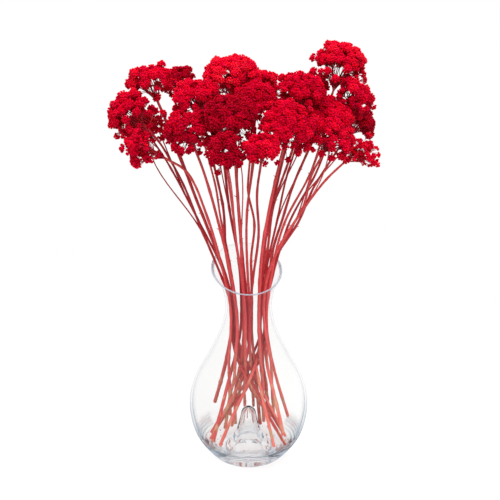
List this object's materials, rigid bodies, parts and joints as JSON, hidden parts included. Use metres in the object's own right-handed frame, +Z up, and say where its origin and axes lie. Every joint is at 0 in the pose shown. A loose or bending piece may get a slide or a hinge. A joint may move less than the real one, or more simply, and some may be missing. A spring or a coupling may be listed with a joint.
{
  "type": "dried flowers in vase",
  "caption": "Red-dyed dried yarrow fanning out of a clear glass carafe with a slanted flared mouth and a high punt.",
  "frame": {"origin": "middle of the carafe's foot on the table", "axes": "+Z up, -Y towards the front, where the slanted mouth is lowest, +X to the right seen from the front"},
  "size_m": [0.4018, 0.3231, 0.6395],
  "materials": {
    "glass": "clear blown glass",
    "stalk": "dyed dried stem, matt",
    "flowers": "dyed dried florets, matt"
  },
  "bodies": {
    "root": {"vase": "glass", "stalk_01": "stalk", "stalk_02": "stalk", "stalk_03": "stalk", "stalk_04": "stalk", "stalk_05": "stalk", "stalk_06": "stalk", "stalk_07": "stalk", "stalk_08": "stalk", "stalk_09": "stalk", "stalk_10": "stalk", "stalk_11": "stalk", "stalk_12": "stalk", "stalk_13": "stalk", "stalk_14": "stalk", "stalk_15": "stalk", "stalk_16": "stalk", "stalk_17": "stalk", "stalk_18": "stalk", "stalk_19": "stalk", "stalk_20": "stalk", "stalk_21": "stalk", "stalk_22": "stalk", "stalk_23": "stalk", "stalk_24": "stalk", "flower_head_01": "flowers", "flower_head_02": "flowers", "flower_head_03": "flowers", "flower_head_04": "flowers", "flower_head_05": "flowers", "flower_head_06": "flowers", "flower_head_07": "flowers", "flower_head_08": "flowers", "flower_head_09": "flowers", "flower_head_10": "flowers", "flower_head_11": "flowers", "flower_head_12": "flowers", "flower_head_13": "flowers", "flower_head_14": "flowers", "flower_head_15": "flowers", "flower_head_16": "flowers", "flower_head_17": "flowers", "flower_head_18": "flowers", "flower_head_19": "flowers", "flower_head_20": "flowers", "flower_head_21": "flowers", "flower_head_22": "flowers", "flower_head_23": "flowers", "flower_head_24": "flowers"}
  },
  "joints": []
}
